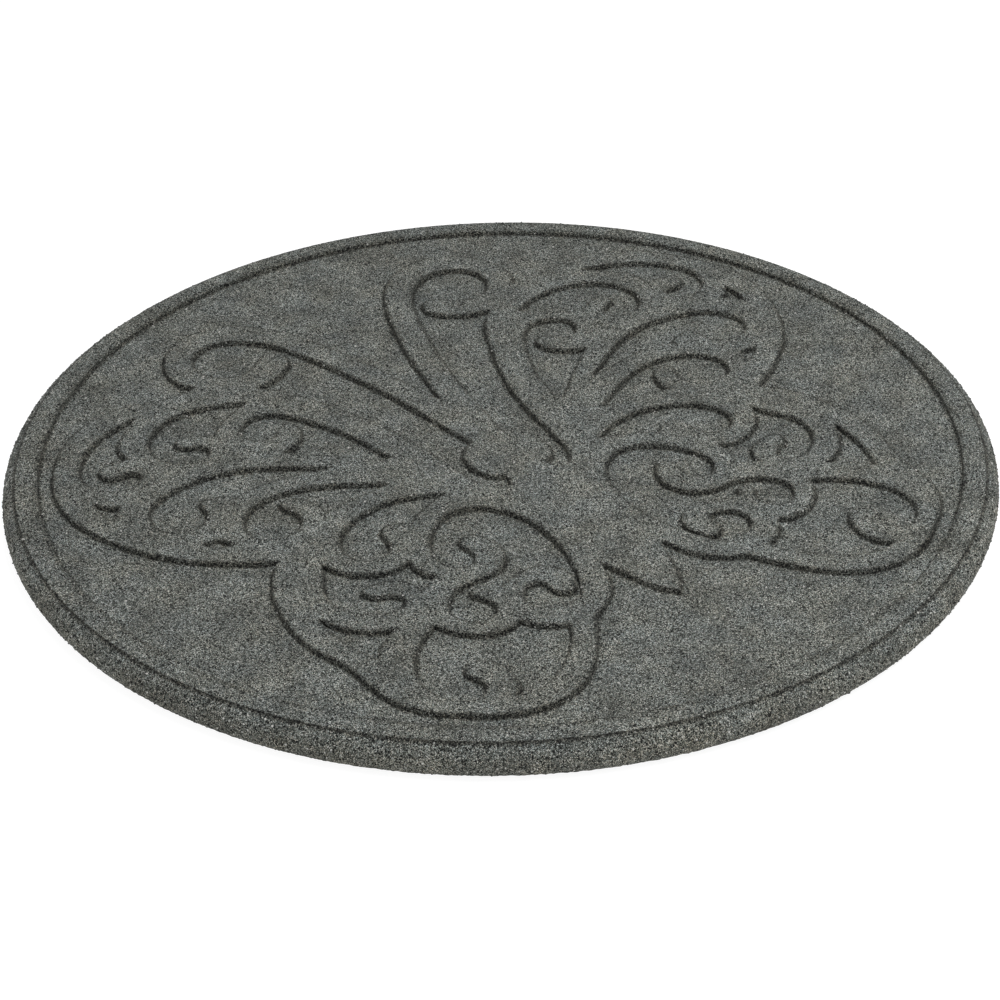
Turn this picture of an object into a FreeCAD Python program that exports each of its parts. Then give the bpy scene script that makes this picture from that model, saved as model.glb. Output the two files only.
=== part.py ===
import FreeCAD, Part
import os
from math import acos, cos, degrees, radians, sin

# Garden stepping stone, moulded in one piece. Millimetres, +Z up.
# The underside lies on z = 0 and the middle of the disc is the origin.
# The butterfly's head points to +Y and the pattern is the same on both sides of X = 0.

# Driving sizes
diameter = 457.2
edge_height = 16.7
field_drop = 1.5
relief_height = 2.2
ring_from_edge = 5.2
ring_width = 11.6
ring_rise = 2.4
ring_crown = 0.3
ring_rounding = 0.6
ring_lean = 1.0

# The pattern's points are written for a stone of this diameter
drawn_for = 457.2
# How closely the arcs follow the smooth stretches of an outline
arc_fit = 0.5
# Narrow straight bands in each half of the half-round edge, and over the ring
edge_bands = 4
ring_bands = 4

# Sizes that follow
radius = diameter / 2.0
edge_radius = edge_height / 2.0
core_radius = radius - edge_radius
field_height = edge_height - field_drop
ring_outer = radius - ring_from_edge
ring_inner = ring_outer - ring_width
ring_middle = ring_outer - ring_width / 2.0
ring_top = field_height + ring_rise
pattern_scale = diameter / drawn_for

# Every outline below is the right-hand half of the pattern, as x and y on the top face.
# An outline is a run of smooth stretches. Where one stretch ends and the next begins
# there is a corner.

# The butterfly's own edge, from the notch between the antennae round to the tail
edge = [
    [(0, 52), (2.8, 64.5), (7.6, 88), (14.3, 112.5), (22, 133.5), (31, 153.5),
     (43, 167.5), (57, 174), (72, 173.5), (84, 167), (92.5, 156), (96, 143),
     (95, 134.5), (91, 127.5)],
    [(91, 127.5), (108, 127), (129, 131), (149, 127.5), (168, 114), (181.5, 95),
     (189.5, 75), (190, 55), (185, 34), (174.5, 12.5), (155.5, -8), (131.5, -24)],
    [(131.5, -24), (139.5, -34), (147, -50), (151.5, -70), (151, -92), (146, -110),
     (145.5, -128), (138.5, -148.5), (122, -164.5), (104.5, -175), (90, -177.5),
     (74, -173.5), (57.5, -160.5), (46.5, -146.5), (40.5, -136.5)],
    [(40.5, -136.5), (32, -131.5), (24, -124.5), (18.5, -114), (16, -105.5)],
    [(16, -105.5), (12, -117.5), (7, -131), (0, -141.5)],
]

# Low panels inside the outline
panels = [
    # between the antenna, the head and the wing, running up into the antenna's curl
    [
        [(10.5, -22.5), (17.5, -17.5), (20.3, -7), (17.5, 3.5), (8.5, 11.5)],
        [(8.5, 11.5), (10.5, 25), (13, 45), (17.5, 68), (24, 95), (31.5, 120.5),
         (39.5, 140), (50, 153.5), (64, 159.5), (77, 154), (82.5, 143), (78.5, 131.5),
         (68, 126), (58, 128.5), (51, 135), (44.5, 136.5), (40, 129.5), (44.5, 120),
         (55, 113), (66.5, 110.5)],
        [(66.5, 110.5), (55.5, 98.5), (47.5, 81.5), (39, 60.5), (32.8, 40), (28.5, 15),
         (26, -10), (24.5, -19), (17.5, -30)],
        [(17.5, -30), (13.5, -30)],
        [(13.5, -30), (10.5, -22.5)],
    ],
    # leaf and curl beside the front edge of the forewing
    [
        [(46, 21), (49, 36), (53, 52), (60, 67.5), (67.5, 81), (78, 87.5), (87.5, 85),
         (92.8, 76.5), (89.5, 69), (82, 67), (76, 72), (71, 74.5), (67.5, 70.5),
         (69, 63), (75.5, 56), (84.5, 52.5)],
        [(84.5, 52.5), (74, 43.5), (61, 31.5), (50, 20.5)],
        [(50, 20.5), (46, 21)],
    ],
    # top panel of the forewing
    [
        [(77, 101.5), (90, 107.5), (104, 109.8), (118, 107.5), (129.5, 99.5),
         (135, 86.5), (132, 74.5), (123.5, 68.5), (115, 70), (112.8, 78),
         (118.5, 81.5), (123, 86.5), (120, 91), (112, 89.5), (104, 84)],
        [(104, 84), (97, 91), (88, 97), (77, 101.5)],
    ],
    # panel in the wing tip
    [
        [(127, 119), (142, 115), (157, 107), (168, 94.5), (172, 81.5), (167.5, 70),
         (157.5, 66), (150, 70), (149.5, 76), (156.5, 77), (163, 81), (162.5, 87),
         (155, 89), (146.5, 88.5)],
        [(146.5, 88.5), (146.5, 98), (139.5, 108.5), (127, 119)],
    ],
    # long middle panel of the forewing
    [
        [(72, 28.5), (88, 40), (105, 49.5), (125, 54.5), (143, 52.5), (156.5, 46.5),
         (162.7, 35), (160, 25), (151.5, 19.5), (142, 22.5), (138, 29.5),
         (136.5, 37.5), (130, 37.5), (122, 31.5)],
        [(122, 31.5), (112, 34), (98, 34), (84, 31.5), (72, 28.5)],
    ],
    # lower panel of the forewing
    [
        [(59, 2.5), (75, 13), (90, 20), (105, 22.8), (119, 20), (129, 10.5), (130.7, 0),
         (123, -8), (111.5, -6), (105.5, 1.5), (107, 9.5), (108, 16), (102, 17),
         (95.5, 10), (94, -2)],
        [(94, -2), (82, 0.5), (70, 1.5), (59, 2.5)],
    ],
    # small three-cornered panel near the wing tip
    [
        [(176.5, 62.5), (173, 57.5), (168.5, 54.5)],
        [(168.5, 54.5), (176, 46)],
        [(176, 46), (177.3, 54), (176.5, 62.5)],
    ],
    # small three-cornered panel lower down
    [
        [(144, 6.5), (152, 6)],
        [(152, 6), (148.5, 1.5), (141, -1.5)],
        [(141, -1.5), (144, 6.5)],
    ],
    # top panel of the hindwing
    [
        [(42, -19.5), (54, -13.5), (69, -10.8), (84, -13.5), (97, -21.5), (104, -34),
         (101, -44.5), (92.5, -47.5), (85.5, -43), (82.8, -35.5), (80.5, -27.5),
         (75, -27.5), (68, -31)],
        [(68, -31), (62, -27), (53, -22.5), (42, -19.5)],
    ],
    # spiral panel beside the body
    [
        [(36, -119), (28, -103), (23, -84), (22.3, -65), (27.5, -47), (36.5, -36.5),
         (48, -34), (60, -39.5), (68.5, -49.5), (73, -61), (70, -71.5), (62.5, -73.5),
         (57.5, -67.5), (58.5, -58.5), (54.5, -52.5), (48.5, -56), (44.3, -67),
         (48.5, -79), (59, -85.3), (73, -85.3), (85, -91.5), (90, -102), (85, -110.5),
         (76.5, -112), (71, -106), (72.5, -99.5), (75.5, -93.5), (73, -90), (67, -95)],
        [(67, -95), (60, -94.5), (50, -90.5), (39, -91.5), (32, -99), (33.5, -111.5),
         (39, -115.3), (44.3, -111), (45, -102.5), (51.5, -102), (58.5, -110),
         (53, -120), (44, -121.5), (36, -119)],
    ],
    # outer panel of the hindwing
    [
        [(84, -56.5), (96, -57.7), (107, -52.7), (114, -44.5), (116.7, -37)],
        [(116.7, -37), (122.5, -48.5), (127.5, -61), (125, -73.5), (117, -82),
         (107, -84.5), (101, -80), (104.5, -74), (111, -70.7), (112.5, -64.5),
         (106, -62.5), (97, -65), (91.8, -72), (91, -78)],
        [(91, -78), (80.5, -72.5)],
        [(80.5, -72.5), (84.5, -66), (84, -56.5)],
    ],
    # crescent at the outer edge of the hindwing
    [
        [(138.7, -72.5), (132.7, -84.3), (125, -92), (115, -96.5)],
        [(115, -96.5), (124, -101.5), (132.5, -110.5)],
        [(132.5, -110.5), (137, -97), (138.8, -85), (138.7, -72.5)],
    ],
    # large bottom panel of the hindwing
    [
        [(53, -134.5), (61.5, -130), (68.8, -121)],
        [(68.8, -121), (80, -123), (91, -119), (97.5, -110.8), (100.4, -103.7)],
        [(100.4, -103.7), (112.7, -111.5), (122.5, -123.5), (127, -138), (123, -150.5),
         (113, -157), (105.5, -152.5), (106.5, -143), (106, -136), (100, -134.5),
         (93.5, -141), (91.7, -150), (93.5, -158.5), (99, -164)],
        [(99, -164), (86, -165.5), (72, -157.8), (60, -147), (53, -134.5)],
    ],
]


def point(x, y, z):
    return FreeCAD.Vector(x, y, z)


def stretch(points, side, z):
    # A smooth curve through the points, kept as arcs that run one into the next
    scale = pattern_scale
    places = [point(side * x * scale, y * scale, z) for x, y in points]
    if len(places) == 2:
        return [Part.makeLine(places[0], places[1])]
    curve = Part.BSplineCurve()
    curve.interpolate(places)
    return [arc.toShape() for arc in curve.toBiArcs(arc_fit)]


def half_edges(outline, side, z):
    edges = []
    for points in outline:
        edges.extend(stretch(points, side, z))
    return edges


def closed_wire(edges):
    return Part.Wire(Part.__sortEdges__(edges))


def edge_section(end_angle):
    # Half-round edge, from its foot at -90 degrees past the widest place up to the ring
    lower = [-90 + 90 * band / edge_bands for band in range(edge_bands)]
    upper = [end_angle * band / edge_bands for band in range(edge_bands + 1)]
    places = []
    for angle in lower + upper:
        across = core_radius + edge_radius * cos(radians(angle))
        places.append(point(across, 0, edge_radius + edge_radius * sin(radians(angle))))
    return places


def ring_section():
    # An outer wall that leans in, a slightly crowned top and an upright inner wall
    shoulder = ring_top - ring_crown
    wall_top = shoulder - ring_rounding
    outer = ring_outer - ring_lean
    crown_start = point(outer - ring_rounding, 0, shoulder)
    crown_end = point(ring_inner + ring_rounding, 0, shoulder)
    crown = Part.Arc(crown_start, point(ring_middle, 0, ring_top), crown_end)
    places = [point(outer, 0, wall_top)]
    places.extend(crown.discretize(ring_bands + 1))
    places.append(point(ring_inner, 0, wall_top))
    places.append(point(ring_inner, 0, field_height))
    return places


def make_disc():
    # Half section from the middle of the underside, round the edge and over the ring
    top_angle = degrees(acos((ring_outer - core_radius) / edge_radius))
    middle = point(0, 0, 0)
    centre = point(0, 0, field_height)
    section = [middle] + edge_section(top_angle) + ring_section() + [centre, middle]
    face = Part.Face(Part.makePolygon(section))
    return face.revolve(middle, point(0, 0, 1), 360)


def make_butterfly():
    # The raised web is the whole outline with its low panels left open
    low = field_height / 2.0
    wires = [closed_wire(half_edges(edge, 1, low) + half_edges(edge, -1, low))]
    for panel in panels:
        for side in (1, -1):
            wires.append(closed_wire(half_edges(panel, side, low)))
    web = Part.makeFace(wires, "Part::FaceMakerBullseye")
    return web.extrude(point(0, 0, field_height + relief_height - low))


def make_stepping_stone():
    stone = make_disc().fuse(make_butterfly())
    return stone.removeSplitter()


def save(shape, name):
    os.makedirs("parts", exist_ok=True)
    shape.exportStep(os.path.join("parts", name + ".step"))


stone = make_stepping_stone()
save(stone, "stepping_stone")
print("solids", len(stone.Solids), "valid", stone.isValid(), "volume", round(stone.Volume))
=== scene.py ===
import math

import bmesh
import bpy
from mathutils import Matrix, Vector, noise
from mathutils.bvhtree import BVHTree
from mathutils.geometry import delaunay_2d_cdt
from mathutils.kdtree import KDTree


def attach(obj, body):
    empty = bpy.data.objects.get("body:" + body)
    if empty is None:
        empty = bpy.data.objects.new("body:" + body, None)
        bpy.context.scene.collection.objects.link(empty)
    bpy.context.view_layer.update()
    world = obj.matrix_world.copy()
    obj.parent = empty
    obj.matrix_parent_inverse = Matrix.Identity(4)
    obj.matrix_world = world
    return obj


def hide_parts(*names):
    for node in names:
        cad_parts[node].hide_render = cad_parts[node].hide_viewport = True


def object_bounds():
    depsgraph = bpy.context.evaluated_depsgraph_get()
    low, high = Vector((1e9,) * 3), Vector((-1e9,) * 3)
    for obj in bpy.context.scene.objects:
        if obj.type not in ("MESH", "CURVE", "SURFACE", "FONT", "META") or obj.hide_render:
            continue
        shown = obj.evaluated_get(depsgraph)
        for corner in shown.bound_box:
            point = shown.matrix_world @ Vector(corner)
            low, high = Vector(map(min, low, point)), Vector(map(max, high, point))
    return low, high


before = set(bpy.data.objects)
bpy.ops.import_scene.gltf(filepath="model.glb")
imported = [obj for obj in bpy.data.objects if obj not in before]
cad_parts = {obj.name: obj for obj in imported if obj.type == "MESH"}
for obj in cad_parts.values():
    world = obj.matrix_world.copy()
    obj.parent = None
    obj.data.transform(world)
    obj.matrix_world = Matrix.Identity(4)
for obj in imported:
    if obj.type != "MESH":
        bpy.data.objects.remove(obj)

bl_info = {
    "name": "Rubber crumb stepping stone",
    "version": (1, 0, 0),
    "blender": (4, 5, 0),
    "location": "View3D > Sidebar > Stepping stone",
    "description": "A round garden stepping stone of bound rubber crumb, on a pale floor",
    "category": "Object",
}

MM = 0.001
CAD_LOW, CAD_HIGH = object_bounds()
CAD_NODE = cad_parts["stepping_stone"]

# How much a place belongs to a wall, kept in the mesh as "relief_wall". The material adds each
# granule's own chance to it, and paints shade over the walls, darkening from WALL_DARKENS on.
OPEN_GROUND = 0.0
WEB_EDGE = 1.3
WEB_TURN = 1.4
WEB_WALL = 1.5
WEB_FOOT = 1.7
RING_TURN = 1.1
RING_WALL_TOP = 1.3
RING_WALL = 1.6
RING_FOOT = 1.9
GROOVE_WALL = 2.2
GROOVE_FOOT = 1.2
WALL_DARKENS = (1.15, 1.55)
FOOT_DARKENS = (2.1, 2.5)

# The part of the free room beside a wall that its strips may take
ROOM_SHARE = 0.8

# A Mix node that multiplies colours, and the numbers of its colour sockets
MULTIPLY = {"data_type": "RGBA", "blend_type": "MULTIPLY"}
FIRST_COLOUR = 6
SECOND_COLOUR = 7
MIXED_COLOUR = 2


class StoneSizes(bpy.types.PropertyGroup):
    ring_from_edge: bpy.props.FloatProperty(
        name="Ring from edge",
        description="From the widest place of the stone in to the outside of the ring",
        default=5.2 * MM,
        unit="LENGTH",
    )
    ring_width: bpy.props.FloatProperty(
        name="Ring width",
        description="Width of the raised ring",
        default=11.6 * MM,
        unit="LENGTH",
    )
    field_drop: bpy.props.FloatProperty(
        name="Field drop",
        description="From the height of the edge down to the field",
        default=1.5 * MM,
        unit="LENGTH",
    )
    edge_height: bpy.props.FloatProperty(
        name="Edge height",
        description="Height of the half-round edge",
        default=16.7 * MM,
        unit="LENGTH",
    )
    web_rise: bpy.props.FloatProperty(
        name="Relief height",
        description="Height of the raised butterfly above the field",
        default=2.2 * MM,
        unit="LENGTH",
    )
    web_rounding: bpy.props.FloatProperty(
        name="Relief rounding",
        description="Radius along the upper edges of the raised butterfly",
        default=0.5 * MM,
        unit="LENGTH",
    )
    ring_crown: bpy.props.FloatProperty(
        name="Ring crown",
        description="How much higher the middle of the ring is than its shoulders",
        default=0.3 * MM,
        unit="LENGTH",
    )
    ring_rounding: bpy.props.FloatProperty(
        name="Ring rounding",
        description="Radius along both upper edges of the ring",
        default=0.6 * MM,
        unit="LENGTH",
    )
    ring_lean: bpy.props.FloatProperty(
        name="Ring lean",
        description="How far the ring's outer wall leans in",
        default=1.0 * MM,
        unit="LENGTH",
    )
    ring_inner_lean: bpy.props.FloatProperty(
        name="Ring inner lean",
        description="How far the ring's inner wall leans back",
        default=0.1 * MM,
        unit="LENGTH",
    )
    web_lean: bpy.props.FloatProperty(
        name="Relief lean",
        description="How far the foot of each relief wall stands out",
        default=0.5 * MM,
        unit="LENGTH",
    )
    raggedness: bpy.props.FloatProperty(
        name="Raggedness",
        description="How far granules push the relief walls sideways",
        default=0.45 * MM,
        unit="LENGTH",
    )
    # The darker strips and the darker granules over the ring below are painted shade
    foot_strip: bpy.props.FloatProperty(
        name="Foot strip",
        description="Width of the darker strip along the foot of each wall",
        default=2.1 * MM,
        unit="LENGTH",
    )
    ring_strip: bpy.props.FloatProperty(
        name="Ring strip",
        description="How far the darker granules reach from the inner wall over the ring",
        default=4.0 * MM,
        unit="LENGTH",
    )
    web_strip: bpy.props.FloatProperty(
        name="Upper strip",
        description="Width of the darker strip along the upper edge of each wall",
        default=1.6 * MM,
        unit="LENGTH",
    )
    roughness: bpy.props.FloatProperty(
        name="Edge roughness",
        description="How deep the gaps between granules go on the edge and the ring",
        default=0.5 * MM,
        unit="LENGTH",
    )
    mesh_step: bpy.props.FloatProperty(
        name="Mesh step",
        description="Spacing of points along the relief and round the edge",
        default=1.1 * MM,
        unit="LENGTH",
    )
    granule: bpy.props.FloatProperty(
        name="Granule",
        description="Width of one rubber granule",
        default=0.31 * MM,
        unit="LENGTH",
    )
    pit: bpy.props.FloatProperty(
        name="Pit",
        description="Width of a pit where a few granules have come away",
        default=1.0 * MM,
        unit="LENGTH",
    )
    patch: bpy.props.FloatProperty(
        name="Patch",
        description="Width of the slightly lighter and darker patches",
        default=18.0 * MM,
        unit="LENGTH",
    )
    warmth_top: bpy.props.FloatProperty(
        name="Warmth top",
        description="Height at which the dust on the edge ends",
        default=15.0 * MM,
        unit="LENGTH",
    )
    warmth_fade: bpy.props.FloatProperty(
        name="Warmth fade",
        description="How far down the dust takes to reach its full strength",
        default=5.0 * MM,
        unit="LENGTH",
    )
    proud_granules: bpy.props.FloatProperty(
        name="Proud granules",
        description="How many granules stand proud in each square metre",
        default=34000.0,
        min=0.0,
    )
    edge_share: bpy.props.FloatProperty(
        name="Edge share",
        description="How many times as many granules stand proud on the half-round edge",
        default=4.0,
        min=0.0,
    )
    sunk_share: bpy.props.FloatProperty(
        name="Sunk share",
        description="How deep a proud granule's middle lies, as a share of its width",
        default=0.06,
    )
    proud_size: bpy.props.FloatProperty(
        name="Proud granule size",
        description="Width of the larger granules that stand proud",
        default=1.2 * MM,
        unit="LENGTH",
    )
    seed: bpy.props.IntProperty(
        name="Seed",
        description="Chooses where the proud granules fall",
        default=11,
    )


class StoneColours(bpy.types.PropertyGroup):
    darkest: bpy.props.StringProperty(
        name="Darkest granules", description="sRGB hex", default="#0c0d0c"
    )
    dark: bpy.props.StringProperty(
        name="Dark granules", description="sRGB hex", default="#242623"
    )
    middle: bpy.props.StringProperty(
        name="Middle granules", description="sRGB hex", default="#60635e"
    )
    light: bpy.props.StringProperty(
        name="Light granules", description="sRGB hex", default="#8b8e88"
    )
    lightest: bpy.props.StringProperty(
        name="Lightest granules", description="sRGB hex", default="#d4d3ce"
    )
    wall: bpy.props.StringProperty(
        name="Shade on relief walls", description="sRGB hex", default="#d0ceca"
    )
    wall_foot: bpy.props.StringProperty(
        name="Shade at the feet of the walls", description="sRGB hex", default="#c0bebc"
    )
    warmth: bpy.props.StringProperty(
        name="Warmth on the edge", description="sRGB hex", default="#fffbf5"
    )
    floor: bpy.props.StringProperty(
        name="Floor", description="sRGB hex", default="#ffffff"
    )


class StudioSettings(bpy.types.PropertyGroup):
    turn: bpy.props.FloatProperty(
        name="Turn",
        description="Angle of the view round the stone, from straight in front",
        default=math.radians(-32.53),
        subtype="ANGLE",
    )
    height_angle: bpy.props.FloatProperty(
        name="Height angle",
        description="Angle of the view above the ground",
        default=math.radians(32.93),
        subtype="ANGLE",
    )
    roll: bpy.props.FloatProperty(
        name="Roll",
        description="How far the camera leans",
        default=math.radians(-1.2),
        subtype="ANGLE",
    )
    aim: bpy.props.FloatVectorProperty(
        name="Aim",
        description="The place that the camera looks at",
        default=(-24.2 * MM, -37.3 * MM, 16.7 * MM),
        subtype="XYZ",
        unit="LENGTH",
    )
    distance: bpy.props.FloatProperty(
        name="Distance",
        description="From the camera to the place it looks at",
        default=1347.1 * MM,
        unit="LENGTH",
    )
    lens: bpy.props.FloatProperty(
        name="Lens", description="Focal length in millimetres", default=108.0
    )
    sky: bpy.props.FloatProperty(
        name="Sky", description="Strength of the even light", default=0.54
    )
    lamp: bpy.props.FloatProperty(
        name="Lamp", description="Power of the soft lamp in watts", default=8.2
    )
    lamp_width: bpy.props.FloatProperty(
        name="Lamp width",
        description="Width of the round soft lamp",
        default=0.9,
        unit="LENGTH",
    )
    lamp_height: bpy.props.FloatProperty(
        name="Lamp height",
        description="How high the lamp hangs over the floor",
        default=1.0,
        unit="LENGTH",
    )
    lamp_aside: bpy.props.FloatProperty(
        name="Lamp aside",
        description="How far the lamp hangs to the right of the stone's middle",
        default=0.35,
        unit="LENGTH",
    )
    lamp_towards: bpy.props.FloatProperty(
        name="Lamp towards",
        description="How far the lamp hangs towards a camera that is level with the floor",
        default=0.35,
        unit="LENGTH",
    )
    floor_reach: bpy.props.FloatProperty(
        name="Floor reach",
        description="From the middle of the floor to its sides",
        default=6.0,
        unit="LENGTH",
    )
    floor_gap: bpy.props.FloatProperty(
        name="Floor gap",
        description="How far the floor lies below the stone, so that they don't coincide",
        default=0.2 * MM,
        unit="LENGTH",
    )


def linear(hex_colour):
    # An sRGB hex colour as the linear values that a shader takes
    parts = [int(hex_colour[i : i + 2], 16) / 255.0 for i in (1, 3, 5)]
    straight = [
        c / 12.92 if c <= 0.04045 else ((c + 0.055) / 1.055) ** 2.4 for c in parts
    ]
    return (*straight, 1.0)


def grey(value):
    # A plain factor that darkens or lightens what it is multiplied with
    return (value, value, value, 1.0)


def add_node(tree, kind, inputs=None, stops=(), **settings):
    # Adds a node, sets its own settings and a ramp's stops, each a place from 0 to 1 and
    # a colour, then sets or links each named or numbered input
    node = tree.nodes.new(kind)
    for name, value in settings.items():
        setattr(node, name, value)
    for i, (place, colour) in enumerate(stops):
        elements = node.color_ramp.elements
        element = elements[i] if i < len(elements) else elements.new(place)
        element.position = place
        element.color = colour
    for name, value in (inputs or {}).items():
        if isinstance(value, bpy.types.NodeSocket):
            tree.links.new(value, node.inputs[name])
        else:
            node.inputs[name].default_value = value
    return node


def granule_colour(tree, colours, shade_chance, tint_chance):
    # Mostly mid grey, with near-black and cream granules, and a faint blue or warm tint
    shade = add_node(
        tree,
        "ShaderNodeValToRGB",
        {"Fac": shade_chance},
        stops=[
            (0.08, linear(colours.darkest)),
            (0.30, linear(colours.dark)),
            (0.54, linear(colours.middle)),
            (0.79, linear(colours.light)),
            (0.96, linear(colours.lightest)),
        ],
    ).outputs["Color"]
    tint = add_node(
        tree,
        "ShaderNodeValToRGB",
        {"Fac": tint_chance},
        stops=[
            (0.00, linear("#e4eff3")),
            (0.35, linear("#f8fafb")),
            (0.70, linear("#fdfcfb")),
            (1.00, linear("#fff8ef")),
        ],
    ).outputs["Color"]
    return add_node(
        tree,
        "ShaderNodeMix",
        {"Factor": 1.0, FIRST_COLOUR: shade, SECOND_COLOUR: tint},
        **MULTIPLY,
    ).outputs[MIXED_COLOUR]


def new_material(name):
    material = bpy.data.materials.new(name)
    material.use_nodes = True
    material.node_tree.nodes.clear()
    return material, material.node_tree


def rubber_surface(tree, colour, normal):
    rubber = add_node(
        tree,
        "ShaderNodeBsdfPrincipled",
        {
            "Base Color": colour,
            "Normal": normal,
            "Roughness": 0.85,
            "IOR": 1.52,
            "Specular IOR Level": 0.3,
        },
    )
    add_node(tree, "ShaderNodeOutputMaterial", {"Surface": rubber.outputs["BSDF"]})


def uneven_mix(tree, place, patch, colour):
    # The crumb is packed a little unevenly from place to place, and the mix of bluish
    # and warm granules wanders too
    uneven = add_node(
        tree,
        "ShaderNodeTexNoise",
        {"Vector": place, "Scale": 1.0 / patch, "Detail": 1.0},
    )
    hue = add_node(
        tree, "ShaderNodeSeparateColor", {"Color": uneven.outputs["Color"]}
    )
    for chance, stops in (
        (uneven.outputs["Fac"], [(0.3, grey(0.77)), (0.7, grey(1.2))]),
        (
            hue.outputs["Green"],
            [(0.3, (0.966, 1.0, 1.022, 1.0)), (0.7, (1.016, 1.006, 0.964, 1.0))],
        ),
    ):
        layer = add_node(tree, "ShaderNodeValToRGB", {"Fac": chance}, stops=stops)
        colour = add_node(
            tree,
            "ShaderNodeMix",
            {"Factor": 1.0, FIRST_COLOUR: colour, SECOND_COLOUR: layer.outputs["Color"]},
            **MULTIPLY,
        ).outputs[MIXED_COLOUR]
    return colour


def bound_crumb_material(sizes, colours):
    # Bound crumb of recycled tyre rubber, pressed in a heated mould with a grey binder.
    # The eye sees a matt speckle of fine angular granules, mostly mid grey with cream or
    # bluish chips. Painted shade makes the gaps between granules black and the relief walls
    # darker and full of nearly black painted pits.
    material, tree = new_material("bound_rubber_crumb")
    per_metre = 1.0 / sizes.granule
    place = add_node(tree, "ShaderNodeTexCoord").outputs["Object"]

    # Places are shifted about a granule's width before they are looked up, so that the
    # granules come out torn instead of straight-sided
    bend = add_node(
        tree,
        "ShaderNodeTexNoise",
        {"Vector": place, "Scale": per_metre * 0.7, "Detail": 1.0},
    )
    centred = add_node(
        tree,
        "ShaderNodeVectorMath",
        {0: bend.outputs["Color"], 1: (0.5, 0.5, 0.5)},
        operation="SUBTRACT",
    )
    shift = add_node(
        tree,
        "ShaderNodeVectorMath",
        {0: centred.outputs[0], "Scale": sizes.granule * 1.6},
        operation="SCALE",
    )
    bent = add_node(
        tree,
        "ShaderNodeVectorMath",
        {0: place, 1: shift.outputs[0]},
        operation="ADD",
    )
    granules = add_node(
        tree,
        "ShaderNodeTexVoronoi",
        {"Vector": bent.outputs[0], "Scale": per_metre, "Randomness": 1.0},
    )
    chances = add_node(
        tree, "ShaderNodeSeparateColor", {"Color": granules.outputs["Color"]}
    )
    colour = granule_colour(
        tree, colours, chances.outputs["Red"], chances.outputs["Green"]
    )
    # Painted shade darkens the gaps between granules, where shade falls between them
    gap = add_node(
        tree,
        "ShaderNodeValToRGB",
        {"Fac": granules.outputs["Distance"]},
        stops=[(0.45, grey(1.0)), (0.95, grey(0.3))],
    )
    gapped = add_node(
        tree,
        "ShaderNodeMix",
        {"Factor": 1.0, FIRST_COLOUR: colour, SECOND_COLOUR: gap.outputs["Color"]},
        **MULTIPLY,
    )
    tinted = uneven_mix(tree, place, sizes.patch, gapped.outputs[MIXED_COLOUR])

    # Painted shadow in pits where a few granules have come away: nearly black spots, most of
    # them along the walls
    wall = add_node(
        tree, "ShaderNodeAttribute", attribute_name="relief_wall"
    ).outputs["Fac"]
    clumps = add_node(
        tree, "ShaderNodeTexVoronoi", {"Vector": bent.outputs[0], "Scale": 1.0 / sizes.pit}
    )
    clump = add_node(
        tree, "ShaderNodeSeparateColor", {"Color": clumps.outputs["Color"]}
    )
    pit_chance = add_node(
        tree,
        "ShaderNodeMath",
        {0: wall, 1: 0.18, 2: clump.outputs["Green"]},
        operation="MULTIPLY_ADD",
    )
    is_pit = add_node(
        tree,
        "ShaderNodeMapRange",
        {"Value": pit_chance.outputs[0], "From Min": 0.85, "From Max": 0.89},
    )
    hollow = add_node(
        tree,
        "ShaderNodeValToRGB",
        {"Fac": clumps.outputs["Distance"]},
        stops=[(0.46, grey(0.03)), (0.56, grey(1.0))],
    )
    dark = add_node(
        tree,
        "ShaderNodeMix",
        {
            "Factor": is_pit.outputs[0],
            FIRST_COLOUR: tinted,
            SECOND_COLOUR: hollow.outputs["Color"],
        },
        **MULTIPLY,
    ).outputs[MIXED_COLOUR]

    # Single granules and clumps of them break the line where the painted shade of a wall ends
    swing = wall
    for chance, reach in ((chances.outputs["Blue"], 0.5), (clump.outputs["Red"], 0.8)):
        swing = add_node(
            tree,
            "ShaderNodeMath",
            {0: chance, 1: reach, 2: swing},
            operation="MULTIPLY_ADD",
        ).outputs[0]
    # Painted shade on the relief walls, darkest in the corners at their feet, the darkest
    # lines
    for shade, (begins, full) in (
        (colours.wall, WALL_DARKENS),
        (colours.wall_foot, FOOT_DARKENS),
    ):
        share = add_node(
            tree,
            "ShaderNodeMapRange",
            {"Value": swing, "From Min": begins, "From Max": full},
        )
        dark = add_node(
            tree,
            "ShaderNodeMix",
            {"Factor": share.outputs[0], FIRST_COLOUR: dark, SECOND_COLOUR: linear(shade)},
            **MULTIPLY,
        ).outputs[MIXED_COLOUR]

    # The lower part of the edge is tinted a little warmer and darker towards the bottom
    height_up = add_node(tree, "ShaderNodeSeparateXYZ", {0: place}).outputs["Z"]
    warmth_full = sizes.warmth_top - sizes.warmth_fade
    low = add_node(
        tree,
        "ShaderNodeMapRange",
        {"Value": height_up, "From Min": sizes.warmth_top, "From Max": warmth_full},
    )
    warmed = add_node(
        tree,
        "ShaderNodeMix",
        {
            "Factor": low.outputs[0],
            FIRST_COLOUR: dark,
            SECOND_COLOUR: linear(colours.warmth),
        },
        **MULTIPLY,
    )

    # Each granule is domed and finely torn
    fine = add_node(
        tree,
        "ShaderNodeTexNoise",
        {"Vector": place, "Scale": per_metre * 2.2, "Detail": 2.0},
    )
    height = add_node(
        tree,
        "ShaderNodeMath",
        {0: fine.outputs["Fac"], 1: 0.6},
        operation="MULTIPLY",
    )
    rough_height = add_node(
        tree,
        "ShaderNodeMath",
        {0: height.outputs[0], 1: granules.outputs["Distance"]},
        operation="SUBTRACT",
    )
    bump = add_node(
        tree,
        "ShaderNodeBump",
        {
            "Height": rough_height.outputs[0],
            "Strength": 0.8,
            "Distance": sizes.granule * 0.5,
        },
    )
    rubber_surface(tree, warmed.outputs[MIXED_COLOUR], bump.outputs["Normal"])
    return material


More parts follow.
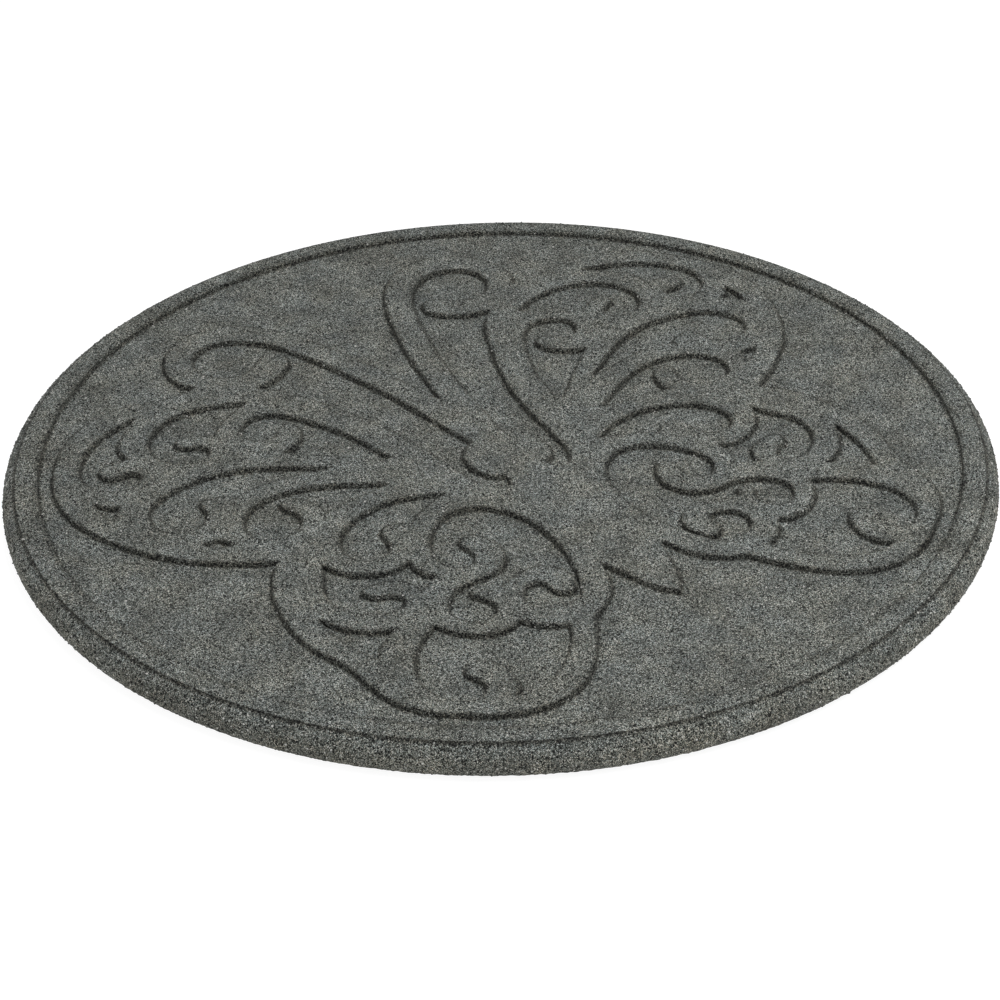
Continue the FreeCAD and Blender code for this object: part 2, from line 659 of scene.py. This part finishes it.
def proud_granule_material(sizes, colours):
    # Single granules of the same rubber, each one shade, torn rough when it was ground
    material, tree = new_material("single_rubber_granules")
    chance = add_node(
        tree, "ShaderNodeAttribute", attribute_name="granule_shade"
    ).outputs["Fac"]
    place = add_node(tree, "ShaderNodeTexCoord").outputs["Object"]
    torn = add_node(
        tree,
        "ShaderNodeTexNoise",
        {"Vector": place, "Scale": 1.2 / sizes.granule, "Detail": 2.0},
    )
    colour = granule_colour(tree, colours, chance, torn.outputs["Fac"])
    # Each granule is darker in the low places of its torn surface and lighter on its high ones
    lows_darker = add_node(
        tree,
        "ShaderNodeValToRGB",
        {"Fac": torn.outputs["Fac"]},
        stops=[(0.35, grey(0.5)), (0.65, grey(1.05))],
    )
    shaded = add_node(
        tree,
        "ShaderNodeMix",
        {"Factor": 1.0, FIRST_COLOUR: colour, SECOND_COLOUR: lows_darker.outputs["Color"]},
        **MULTIPLY,
    )
    bump = add_node(
        tree,
        "ShaderNodeBump",
        {
            "Height": torn.outputs["Fac"],
            "Strength": 0.7,
            "Distance": sizes.granule * 0.3,
        },
    )
    rubber_surface(tree, shaded.outputs[MIXED_COLOUR], bump.outputs["Normal"])
    return material


def painted_floor_material(colours):
    # Matt white studio floor. The camera sees most of it as plain white, so that the
    # stone's shadow stays but is faint.
    material, tree = new_material("matt_studio_white")
    paint = add_node(tree, "ShaderNodeBsdfDiffuse", {"Color": linear(colours.floor)})
    white = add_node(
        tree, "ShaderNodeEmission", {"Color": linear(colours.floor), "Strength": 1.15}
    )
    ray = add_node(tree, "ShaderNodeLightPath")
    share = add_node(
        tree,
        "ShaderNodeMath",
        {0: ray.outputs["Is Camera Ray"], 1: 0.8},
        operation="MULTIPLY",
    )
    seen = add_node(
        tree,
        "ShaderNodeMixShader",
        {"Fac": share.outputs[0], 1: paint.outputs[0], 2: white.outputs[0]},
    )
    add_node(tree, "ShaderNodeOutputMaterial", {"Surface": seen.outputs[0]})
    return material


def merged_cad():
    # The CAD mesh as a merged copy, so that its faces share edges
    same_place = 0.002 * MM
    made = bmesh.new()
    made.from_mesh(CAD_NODE.data)
    bmesh.ops.remove_doubles(made, verts=made.verts, dist=same_place)
    made.verts.ensure_lookup_table()
    return made


def relief_loops(cad, top):
    # Closed runs of places along the upper edges of the relief walls, where a steep face
    # meets a level one at the web's height
    slack = 0.01 * MM
    steep = 0.3
    level = 0.9
    neighbours = {}
    for edge in cad.edges:
        if len(edge.link_faces) != 2:
            continue
        if any(abs(v.co.z - top) > slack for v in edge.verts):
            continue
        slopes = sorted(abs(face.normal.z) for face in edge.link_faces)
        if slopes[0] < steep and slopes[1] > level:
            a, b = edge.verts
            neighbours.setdefault(a.index, []).append(b.index)
            neighbours.setdefault(b.index, []).append(a.index)
    loops = []
    left = set(neighbours)
    while left:
        here = min(left)
        left.discard(here)
        run = [here]
        while True:
            ahead = [i for i in neighbours[here] if i in left]
            if not ahead:
                break
            here = ahead[0]
            left.discard(here)
            run.append(here)
        loops.append([cad.verts[i].co.to_2d() for i in run])
    return loops


def is_corner(before, here, after, least=math.radians(30)):
    return (here - before).angle(after - here, 0.0) > least


def finely_spaced(loop, step):
    # The same loop with points about a step apart, on a smooth curve except at its corners
    count = len(loop)
    sharp = [is_corner(loop[i - 1], loop[i], loop[(i + 1) % count]) for i in range(count)]
    places = []
    corners = []
    for i in range(count):
        a, b = loop[i], loop[(i + 1) % count]
        before = a + (a - b) if sharp[i] else loop[i - 1]
        after = b + (b - a) if sharp[(i + 1) % count] else loop[(i + 2) % count]
        pieces = max(1, round((b - a).length / step))
        for k in range(pieces):
            t = k / pieces
            spot = 0.5 * (
                2 * a
                + (b - before) * t
                + (2 * before - 5 * a + 4 * b - after) * t * t
                + (3 * a - before - 3 * b + after) * t * t * t
            )
            places.append(spot)
            corners.append(sharp[i] and k == 0)
    return places, corners


def evened(places, corners, step):
    # Drops places that crowd their neighbour, but no corner, so that the walls stay even
    crowded = 0.6 * step
    kept = []
    kept_corners = []
    for place, corner in zip(places, corners):
        if kept and (place - kept[-1]).length < crowded:
            if not corner:
                continue
            if not kept_corners[-1]:
                kept.pop()
                kept_corners.pop()
        kept.append(place)
        kept_corners.append(corner)
    return kept


def sideways(places):
    # Left-hand direction at each place, with its length stretched so sides stay parallel
    least_share = 0.7
    arrows = []
    count = len(places)
    for i in range(count):
        ahead = (places[(i + 1) % count] - places[i]).normalized()
        behind = (places[i] - places[i - 1]).normalized()
        left_a = Vector((-behind.y, behind.x))
        left_b = Vector((-ahead.y, ahead.x))
        share = max(least_share, 1.0 + left_a.dot(left_b))
        arrows.append((left_a + left_b) / share)
    return arrows


def room_beside(places, arrows, walls, most, step):
    # How far a strip can reach before the wall's own bend or another wall is in its way
    least_ahead = 0.001 * MM
    steepest = 0.4 * step
    rooms = []
    for place, arrow in zip(places, arrows):
        facing = arrow.normalized()
        room = most
        for spot, _, _ in walls.find_range(place.to_3d(), 2.0 * most):
            there = spot.to_2d() - place
            ahead = there.dot(facing)
            if ahead > least_ahead:
                room = min(room, there.length_squared / (2.0 * ahead))
        rooms.append(ROOM_SHARE * room)
    # Narrow places pass on to their neighbours, twice round because the run is closed
    for _ in range(2):
        for i in range(len(rooms)):
            rooms[i] = min(rooms[i], rooms[i - 1] + steepest)
        for i in reversed(range(len(rooms))):
            rooms[i - 1] = min(rooms[i - 1], rooms[i] + steepest)
    return rooms


def ragged(place, amount, grain):
    # Granules break the line of a moulded edge by a fraction of their width
    elsewhere = Vector((31.7, 8.1, 4.4))
    spot = Vector((place.x, place.y, 0.0)) / grain
    return Vector((noise.noise(spot), noise.noise(spot + elsewhere))) * amount


def gap_depth(place, grain):
    # From 0 on a granule to 1 in a gap between granules, uneven from place to place
    gaps_per_grain = 1.7
    contrast = 0.75
    swell = noise.noise(place / grain * gaps_per_grain)
    return min(1.0, max(0.0, 0.5 + contrast * swell))


class StoneMesh:
    """Collects the stone's places and faces, with the relief walls marked."""

    def __init__(self):
        self.places = []
        self.faces = []
        self.walls = []
        self.smooth = []

    def add_places(self, places):
        first = len(self.places)
        self.places.extend(places)
        return list(range(first, first + len(places)))

    def add_face(self, corners, walls=None, smooth=False):
        self.faces.append(corners)
        self.walls.append(walls or [OPEN_GROUND] * len(corners))
        self.smooth.append(smooth)

    def add_band(self, low, high, low_wall, high_wall, smooth=False):
        # Closed band of four-cornered faces; the outside is on the right of the run
        count = len(low)
        for i in range(count):
            j = (i + 1) % count
            marks = [low_wall, low_wall, high_wall, high_wall]
            self.add_face([low[i], low[j], high[j], high[i]], marks, smooth)

    def fill(self, rings):
        # Flat triangles inside the outer ring and outside the rings that lie within it,
        # worked out in millimetres
        flat = []
        owners = []
        bounds = []
        for ring in rings:
            first = len(flat)
            flat.extend(self.places[i].to_2d() * 1000.0 for i in ring)
            owners.extend(ring)
            bounds.append(list(range(first, len(flat))))
        without_holes = 2
        same_place = 1e-5
        verts, _, tris, origins, _, _ = delaunay_2d_cdt(
            flat, [], bounds, without_holes, same_place
        )
        level = self.places[rings[0][0]].z
        index = []
        for spot, origin in zip(verts, origins):
            if origin:
                index.append(owners[origin[0]])
            else:
                index.append(self.add_places([Vector((*(spot / 1000.0), level))])[0])
        for tri in tris:
            self.add_face([index[i] for i in tri])

    def made(self, name):
        mesh = bpy.data.meshes.new(name)
        mesh.from_pydata(self.places, [], self.faces)
        wall = mesh.attributes.new("relief_wall", "FLOAT", "CORNER")
        wall.data.foreach_set("value", [mark for marks in self.walls for mark in marks])
        mesh.polygons.foreach_set("use_smooth", self.smooth)
        mesh.update()
        return mesh


def edge_profile(sizes, radius):
    # Places across and up from the ring's inner foot, over the ring and the edge, to the
    # underside. The third value says how much of the place is wall, which the material turns
    # into painted shade.
    round_radius = sizes.edge_height / 2.0
    core = radius - round_radius
    foot = radius - sizes.ring_from_edge
    outer = foot - sizes.ring_lean
    inner = foot - sizes.ring_width
    turn = sizes.ring_rounding
    top_angle = math.acos((foot - core) / round_radius)
    field = sizes.edge_height - sizes.field_drop
    shoulder = CAD_HIGH.z - sizes.ring_crown
    wall_top = shoulder - turn
    lean = sizes.ring_inner_lean
    # Where the middle of a rounded edge lies, as shares of its radius
    turn_in = 0.4
    turn_out = 0.3
    turn_up = 0.7
    profile = [
        (inner, field, RING_FOOT),
        (inner + lean / 2.0, (field + wall_top) / 2.0, RING_WALL),
        (inner + lean, wall_top, RING_WALL_TOP),
        (inner + turn_in * turn, wall_top + turn_up * turn, RING_TURN),
    ]
    start = inner + turn
    end = outer - turn
    humps = round((end - start) / sizes.mesh_step)
    for k in range(humps + 1):
        share = k / humps
        swell = sizes.ring_crown * (1.0 - (2.0 * share - 1.0) ** 2)
        # The painted shade and the painted pits fade out over the ring, away from its inner
        # wall
        fade = max(0.0, 1.0 - (end - start) * share / sizes.ring_strip)
        profile.append((start + (end - start) * share, shoulder + swell, fade))
    profile.append((outer - turn_out * turn, wall_top + turn_up * turn, RING_TURN))
    profile.append((outer, wall_top, GROOVE_WALL))
    turns = round((top_angle + math.pi / 2.0) * round_radius / sizes.mesh_step)
    for k in range(turns + 1):
        angle = top_angle - (top_angle + math.pi / 2.0) * k / turns
        across = core + round_radius * math.cos(angle)
        up = round_radius + round_radius * math.sin(angle)
        profile.append((across, up, GROOVE_FOOT if k == 0 else OPEN_GROUND))
    return profile


def relief_runs(sizes):
    # The upper edge of each relief wall as even runs of places, with the web on the left
    web_top = sizes.edge_height - sizes.field_drop + sizes.web_rise
    beside = 0.4 * MM
    slack = 0.3 * MM
    cad = merged_cad()
    tree = BVHTree.FromBMesh(cad)

    def is_web(place):
        above = Vector((place.x, place.y, 1.0))
        hit = tree.ray_cast(above, Vector((0, 0, -1)))[0]
        return hit is not None and abs(hit.z - web_top) < slack

    runs = []
    for loop in relief_loops(cad, web_top):
        places, corners = finely_spaced(loop, sizes.mesh_step)
        places = evened(places, corners, sizes.mesh_step)
        votes = 0
        for place, arrow in zip(places, sideways(places)):
            votes += 1 if is_web(place + arrow * beside) else -1
        if votes < 0:
            places.reverse()
        runs.append(places)
    cad.free()
    return runs


def add_relief_wall(stone, places, walls, sizes):
    # One wall of the web, with the strips along its foot and its upper edge, which are marked
    # for painted shade. It gives the ends of both strips, from which the level ground is
    # filled.
    field = sizes.edge_height - sizes.field_drop
    web_top = field + sizes.web_rise
    arrows = sideways(places)
    opposite = [-arrow for arrow in arrows]
    most = max(sizes.foot_strip, sizes.web_strip + sizes.web_rounding) / ROOM_SHARE
    inner_room = room_beside(places, arrows, walls, most, sizes.mesh_step)
    outer_room = room_beside(places, opposite, walls, most, sizes.mesh_step)
    moved = []
    for place, near, far in zip(places, inner_room, outer_room):
        calm = min(near, far) / (ROOM_SHARE * most)
        moved.append(place + ragged(place, sizes.raggedness * calm, sizes.proud_size))
    backs = [min(sizes.web_rounding, 0.5 * room) for room in inner_room]
    reaches = [
        min(sizes.web_strip, room - back) for room, back in zip(inner_room, backs)
    ]
    widths = [min(sizes.foot_strip, room) for room in outer_room]
    # Each row's shares of the rounding, inwards and down, and of the upper strip
    upper_rows = []
    for share, drop, strip in (
        (1.0, 0.0, 1.0),
        (1.0, 0.0, 0.0),
        (0.3, 0.3, 0.0),
        (0.0, 1.0, 0.0),
    ):
        row = []
        for place, arrow, back, more in zip(moved, arrows, backs, reaches):
            inwards = place + arrow * (back * share + more * strip)
            row.append(Vector((*inwards, web_top - back * drop)))
        upper_rows.append(stone.add_places(row))
    upper, edge, turn, wall = upper_rows
    # The wall's foot stands out by the lean, and the strip ends at its full width
    lean = sizes.web_lean / sizes.foot_strip
    foot_rows = []
    for share in (lean, 1.0):
        row = []
        for place, arrow, width in zip(moved, arrows, widths):
            row.append(Vector((*(place - arrow * width * share), field)))
        foot_rows.append(stone.add_places(row))
    foot, strip = foot_rows
    stone.add_band(strip, foot, OPEN_GROUND, WEB_FOOT)
    stone.add_band(foot, wall, WEB_FOOT, WEB_WALL)
    stone.add_band(wall, turn, WEB_WALL, WEB_TURN)
    stone.add_band(turn, edge, WEB_TURN, WEB_EDGE)
    stone.add_band(edge, upper, WEB_EDGE, OPEN_GROUND)
    return upper, strip


def add_ring_and_edge(stone, sizes, radius):
    # The ring, the half-round edge and the underside, turned round the middle. It gives
    # the inner end of the strip along the ring's foot.
    around = round(2.0 * math.pi * radius / sizes.mesh_step)
    angles = [2.0 * math.pi * i / around for i in range(around)]
    profile = edge_profile(sizes, radius)
    last = len(profile) - 1
    # Walls are smoother than open ground
    counts_as_wall = 0.8
    wall_calm = 0.25
    rows = []
    for k, (across, up, mark) in enumerate(profile):
        before = Vector(profile[max(0, k - 1)][:2])
        after = Vector(profile[min(last, k + 1)][:2])
        run = (after - before).normalized()
        outwards = Vector((-run.y, run.x))
        calm = wall_calm if mark > counts_as_wall else 1.0
        row = []
        for angle in angles:
            facing = Vector((math.cos(angle), math.sin(angle), 0.0))
            spot = facing * across + Vector((0, 0, up))
            depth = 0.0
            if 0 < k < last:
                depth = sizes.roughness * calm * gap_depth(spot, sizes.proud_size)
            spot -= (facing * outwards.x + Vector((0, 0, outwards.y))) * depth
            row.append(spot)
        rows.append(stone.add_places(row))
    for k in range(last):
        stone.add_band(rows[k + 1], rows[k], profile[k + 1][2], profile[k][2], smooth=True)
    inner, field, _ = profile[0]
    across = inner - sizes.foot_strip
    strip = stone.add_places(
        [Vector((across * math.cos(a), across * math.sin(a), field)) for a in angles]
    )
    stone.add_band(rows[0], strip, RING_FOOT, OPEN_GROUND)
    bottom = rows[-1]
    middle = stone.add_places([Vector((0, 0, 0))])[0]
    for i in range(around):
        stone.add_face([bottom[(i + 1) % around], bottom[i], middle])
    return strip


def build_stone_mesh(sizes):
    runs = relief_runs(sizes)
    walls = KDTree(sum(len(places) for places in runs))
    for place in (place for places in runs for place in places):
        walls.insert(place.to_3d(), 0)
    walls.balance()

    stone = StoneMesh()
    upper_ends = []
    foot_ends = []
    for places in runs:
        upper, strip = add_relief_wall(stone, places, walls, sizes)
        upper_ends.append(upper)
        foot_ends.append(strip)
    ring_strip = add_ring_and_edge(stone, sizes, CAD_HIGH.x)
    stone.fill(upper_ends)
    stone.fill(foot_ends + [ring_strip])
    return stone.made("stone")


def granule_scatter_tree():
    # Scatters single granules over a surface, part sunk in it
    tree = bpy.data.node_groups.new("proud_granules", "GeometryNodeTree")
    for name, kind in (
        ("Geometry", "Geometry"),
        ("Per square metre", "Float"),
        ("Edge starts", "Float"),
        ("Edge share", "Float"),
        ("Width", "Float"),
        ("Sunk share", "Float"),
        ("Seed", "Int"),
        ("Material", "Material"),
    ):
        tree.interface.new_socket(name, in_out="INPUT", socket_type="NodeSocket" + kind)
    tree.interface.new_socket(
        "Geometry", in_out="OUTPUT", socket_type="NodeSocketGeometry"
    )
    given = add_node(tree, "NodeGroupInput")

    # None of them under the stone, where it lies on the ground
    facing = add_node(tree, "GeometryNodeInputNormal")
    parts = add_node(tree, "ShaderNodeSeparateXYZ", {0: facing.outputs[0]})
    seen = add_node(
        tree, "FunctionNodeCompare", {0: parts.outputs["Z"], 1: -0.6}, operation="GREATER_THAN"
    )
    # The half-round edge sheds more crumbs than the top does
    place = add_node(tree, "GeometryNodeInputPosition")
    flat = add_node(
        tree, "ShaderNodeVectorMath", {0: place.outputs[0], 1: (1, 1, 0)}, operation="MULTIPLY"
    )
    across = add_node(tree, "ShaderNodeVectorMath", {0: flat.outputs[0]}, operation="LENGTH")
    at_edge = add_node(
        tree,
        "FunctionNodeCompare",
        {0: across.outputs["Value"], 1: given.outputs["Edge starts"]},
        operation="GREATER_THAN",
    )
    times = add_node(
        tree,
        "GeometryNodeSwitch",
        {"Switch": at_edge.outputs[0], "False": 1.0, "True": given.outputs["Edge share"]},
        input_type="FLOAT",
    )
    density = add_node(
        tree,
        "ShaderNodeMath",
        {0: given.outputs["Per square metre"], 1: times.outputs[0]},
        operation="MULTIPLY",
    )
    spots = add_node(
        tree,
        "GeometryNodeDistributePointsOnFaces",
        {
            "Mesh": given.outputs["Geometry"],
            "Selection": seen.outputs[0],
            "Density": density.outputs[0],
            "Seed": given.outputs["Seed"],
        },
    )
    depth = add_node(
        tree,
        "ShaderNodeMath",
        {0: given.outputs["Width"], 1: given.outputs["Sunk share"]},
        operation="MULTIPLY",
    )
    back = add_node(
        tree, "ShaderNodeMath", {0: depth.outputs[0], 1: -1.0}, operation="MULTIPLY"
    )
    sink = add_node(
        tree,
        "ShaderNodeVectorMath",
        {0: spots.outputs["Normal"], "Scale": back.outputs[0]},
        operation="SCALE",
    )
    sunk = add_node(
        tree,
        "GeometryNodeSetPosition",
        {"Geometry": spots.outputs["Points"], "Offset": sink.outputs[0]},
    )
    # Each granule is a rough ball of 20 faces, turned and squashed its own way
    granule = add_node(
        tree, "GeometryNodeMeshIcoSphere", {"Radius": 0.5, "Subdivisions": 1}
    )
    turn = add_node(
        tree,
        "FunctionNodeRandomValue",
        {0: (0, 0, 0), 1: (math.tau, math.tau, math.tau)},
        data_type="FLOAT_VECTOR",
    )
    squash = add_node(
        tree,
        "FunctionNodeRandomValue",
        {0: (0.45, 0.45, 0.45), 1: (1.1, 1.1, 1.1), "Seed": 7},
        data_type="FLOAT_VECTOR",
    )
    size = add_node(
        tree,
        "ShaderNodeVectorMath",
        {0: squash.outputs[0], "Scale": given.outputs["Width"]},
        operation="SCALE",
    )
    placed = add_node(
        tree,
        "GeometryNodeInstanceOnPoints",
        {
            "Points": sunk.outputs[0],
            "Instance": granule.outputs["Mesh"],
            "Rotation": turn.outputs[0],
            "Scale": size.outputs[0],
        },
    )
    chance = add_node(
        tree,
        "FunctionNodeRandomValue",
        {2: 0.0, 3: 1.0, "Seed": 3},
        data_type="FLOAT",
    )
    shaded = add_node(
        tree,
        "GeometryNodeStoreNamedAttribute",
        {
            "Geometry": placed.outputs[0],
            "Name": "granule_shade",
            "Value": chance.outputs[1],
        },
        data_type="FLOAT",
        domain="INSTANCE",
    )
    real = add_node(
        tree, "GeometryNodeRealizeInstances", {"Geometry": shaded.outputs[0]}
    )
    coloured = add_node(
        tree,
        "GeometryNodeSetMaterial",
        {"Geometry": real.outputs[0], "Material": given.outputs["Material"]},
    )
    add_node(tree, "NodeGroupOutput", {0: coloured.outputs[0]})
    return tree


def baked(source, tree, inputs, name):
    # Runs a node tree on a copy of an object and keeps the result as a plain mesh
    carrier = bpy.data.objects.new("carrier", source.data)
    bpy.context.scene.collection.objects.link(carrier)
    modifier = carrier.modifiers.new("tree", "NODES")
    modifier.node_group = tree
    for item in tree.interface.items_tree:
        if item.in_out == "INPUT" and item.name in inputs:
            modifier[item.identifier] = inputs[item.name]
    graph = bpy.context.evaluated_depsgraph_get()
    mesh = bpy.data.meshes.new_from_object(
        carrier.evaluated_get(graph), preserve_all_data_layers=True, depsgraph=graph
    )
    carrier.modifiers.clear()
    bpy.data.objects.remove(carrier)
    mesh.name = name
    mesh.materials.clear()
    mesh.materials.append(inputs["Material"])
    mesh.polygons.foreach_set("material_index", [0] * len(mesh.polygons))
    return mesh


def new_object(name, data):
    made = bpy.data.objects.new(name, data)
    bpy.context.scene.collection.objects.link(made)
    return made


def towards_camera(studio):
    # From the place that the camera looks at to the camera, one unit long
    across = math.cos(studio.height_angle)
    return Vector(
        (
            math.sin(studio.turn) * across,
            -math.cos(studio.turn) * across,
            math.sin(studio.height_angle),
        )
    )


def facing_middle(place, along):
    # A camera or lamp at a place, turned so that it looks back along a direction
    turned = along.to_track_quat("Z", "Y").to_matrix().to_4x4()
    return Matrix.Translation(place) @ turned


def lay_floor(studio, colours):
    reach = studio.floor_reach
    low = -studio.floor_gap
    turns = ((-1, -1), (1, -1), (1, 1), (-1, 1))
    corners = [(reach * x, reach * y, low) for x, y in turns]
    mesh = bpy.data.meshes.new("floor")
    mesh.from_pydata(corners, [], [(0, 1, 2, 3)])
    mesh.materials.append(painted_floor_material(colours))
    new_object("floor", mesh)


def light_evenly(scene, studio):
    # An even light on the stone, with plain white where the camera sees past the floor
    world = bpy.data.worlds.new("studio")
    world.use_nodes = True
    tree = world.node_tree
    tree.nodes.clear()
    sky = add_node(
        tree, "ShaderNodeBackground", {"Color": (1, 1, 1, 1), "Strength": studio.sky}
    )
    white = add_node(
        tree, "ShaderNodeBackground", {"Color": (1, 1, 1, 1), "Strength": 1.0}
    )
    ray = add_node(tree, "ShaderNodeLightPath")
    mixed = add_node(
        tree,
        "ShaderNodeMixShader",
        {
            "Fac": ray.outputs["Is Camera Ray"],
            1: sky.outputs[0],
            2: white.outputs[0],
        },
    )
    add_node(tree, "ShaderNodeOutputWorld", {"Surface": mixed.outputs[0]})
    scene.world = world


def set_camera(scene, studio):
    back = towards_camera(studio)
    camera = new_object("camera", bpy.data.cameras.new("camera"))
    camera.data.lens = studio.lens
    camera.data.sensor_width = 36.0
    place = Vector(studio.aim) + back * studio.distance
    camera.matrix_world = facing_middle(place, back) @ Matrix.Rotation(studio.roll, 4, "Z")
    scene.camera = camera


def hang_lamp(studio):
    back = towards_camera(studio)
    right = Vector((0, 0, 1)).cross(back).normalized()
    place = right * studio.lamp_aside + Vector((back.x, back.y, 0.0)) * studio.lamp_towards
    place.z = studio.lamp_height
    lamp = new_object("soft_lamp", bpy.data.lights.new("soft_lamp", "AREA"))
    lamp.data.shape = "DISK"
    lamp.data.size = studio.lamp_width
    lamp.data.energy = studio.lamp
    lamp.matrix_world = facing_middle(place, place)


class STONE_OT_body(bpy.types.Operator):
    """Makes the moulded stone from the frame's outline"""

    bl_idname = "stepping_stone.body"
    bl_label = "Make the stone"

    def execute(self, context):
        sizes = context.scene.stone_sizes
        mesh = build_stone_mesh(sizes)
        mesh.materials.append(bound_crumb_material(sizes, context.scene.stone_colours))
        stone = new_object("stone", mesh)
        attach(stone, "root")
        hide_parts("stepping_stone")
        return {"FINISHED"}


class STONE_OT_granules(bpy.types.Operator):
    """Scatters the single granules that stand proud of the stone"""

    bl_idname = "stepping_stone.granules"
    bl_label = "Scatter proud granules"

    def execute(self, context):
        sizes = context.scene.stone_sizes
        inputs = {
            "Per square metre": sizes.proud_granules,
            "Edge starts": CAD_HIGH.x - sizes.ring_from_edge,
            "Edge share": sizes.edge_share,
            "Width": sizes.proud_size,
            "Sunk share": sizes.sunk_share,
            "Seed": sizes.seed,
            "Material": proud_granule_material(sizes, context.scene.stone_colours),
        }
        stone = bpy.data.objects["stone"]
        mesh = baked(stone, granule_scatter_tree(), inputs, "proud_granules")
        granules = new_object("proud_granules", mesh)
        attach(granules, "root")
        return {"FINISHED"}


class STONE_OT_studio(bpy.types.Operator):
    """Sets the pale floor, the soft light and the camera"""

    bl_idname = "stepping_stone.studio"
    bl_label = "Set the studio"

    def execute(self, context):
        studio = context.scene.stone_studio
        lay_floor(studio, context.scene.stone_colours)
        light_evenly(context.scene, studio)
        set_camera(context.scene, studio)
        hang_lamp(studio)
        context.scene.view_settings.view_transform = "Standard"
        return {"FINISHED"}


class STONE_PT_panel(bpy.types.Panel):
    bl_label = "Stepping stone"
    bl_idname = "STONE_PT_panel"
    bl_space_type = "VIEW_3D"
    bl_region_type = "UI"
    bl_category = "Stepping stone"

    def draw(self, context):
        scene = context.scene
        for group in (scene.stone_sizes, scene.stone_colours, scene.stone_studio):
            box = self.layout.box()
            for name in group.__annotations__:
                box.prop(group, name)
        for operator in (STONE_OT_body, STONE_OT_granules, STONE_OT_studio):
            self.layout.operator(operator.bl_idname)


CLASSES = (
    StoneSizes,
    StoneColours,
    StudioSettings,
    STONE_OT_body,
    STONE_OT_granules,
    STONE_OT_studio,
    STONE_PT_panel,
)


def register():
    for cls in CLASSES:
        bpy.utils.register_class(cls)
    scene_type = bpy.types.Scene
    scene_type.stone_sizes = bpy.props.PointerProperty(type=StoneSizes)
    scene_type.stone_colours = bpy.props.PointerProperty(type=StoneColours)
    scene_type.stone_studio = bpy.props.PointerProperty(type=StudioSettings)


def unregister():
    for name in ("stone_sizes", "stone_colours", "stone_studio"):
        delattr(bpy.types.Scene, name)
    for cls in reversed(CLASSES):
        bpy.utils.unregister_class(cls)


def main():
    register()
    bpy.ops.stepping_stone.body()
    bpy.ops.stepping_stone.granules()
    bpy.ops.stepping_stone.studio()


if __name__ == "__main__":
    main()
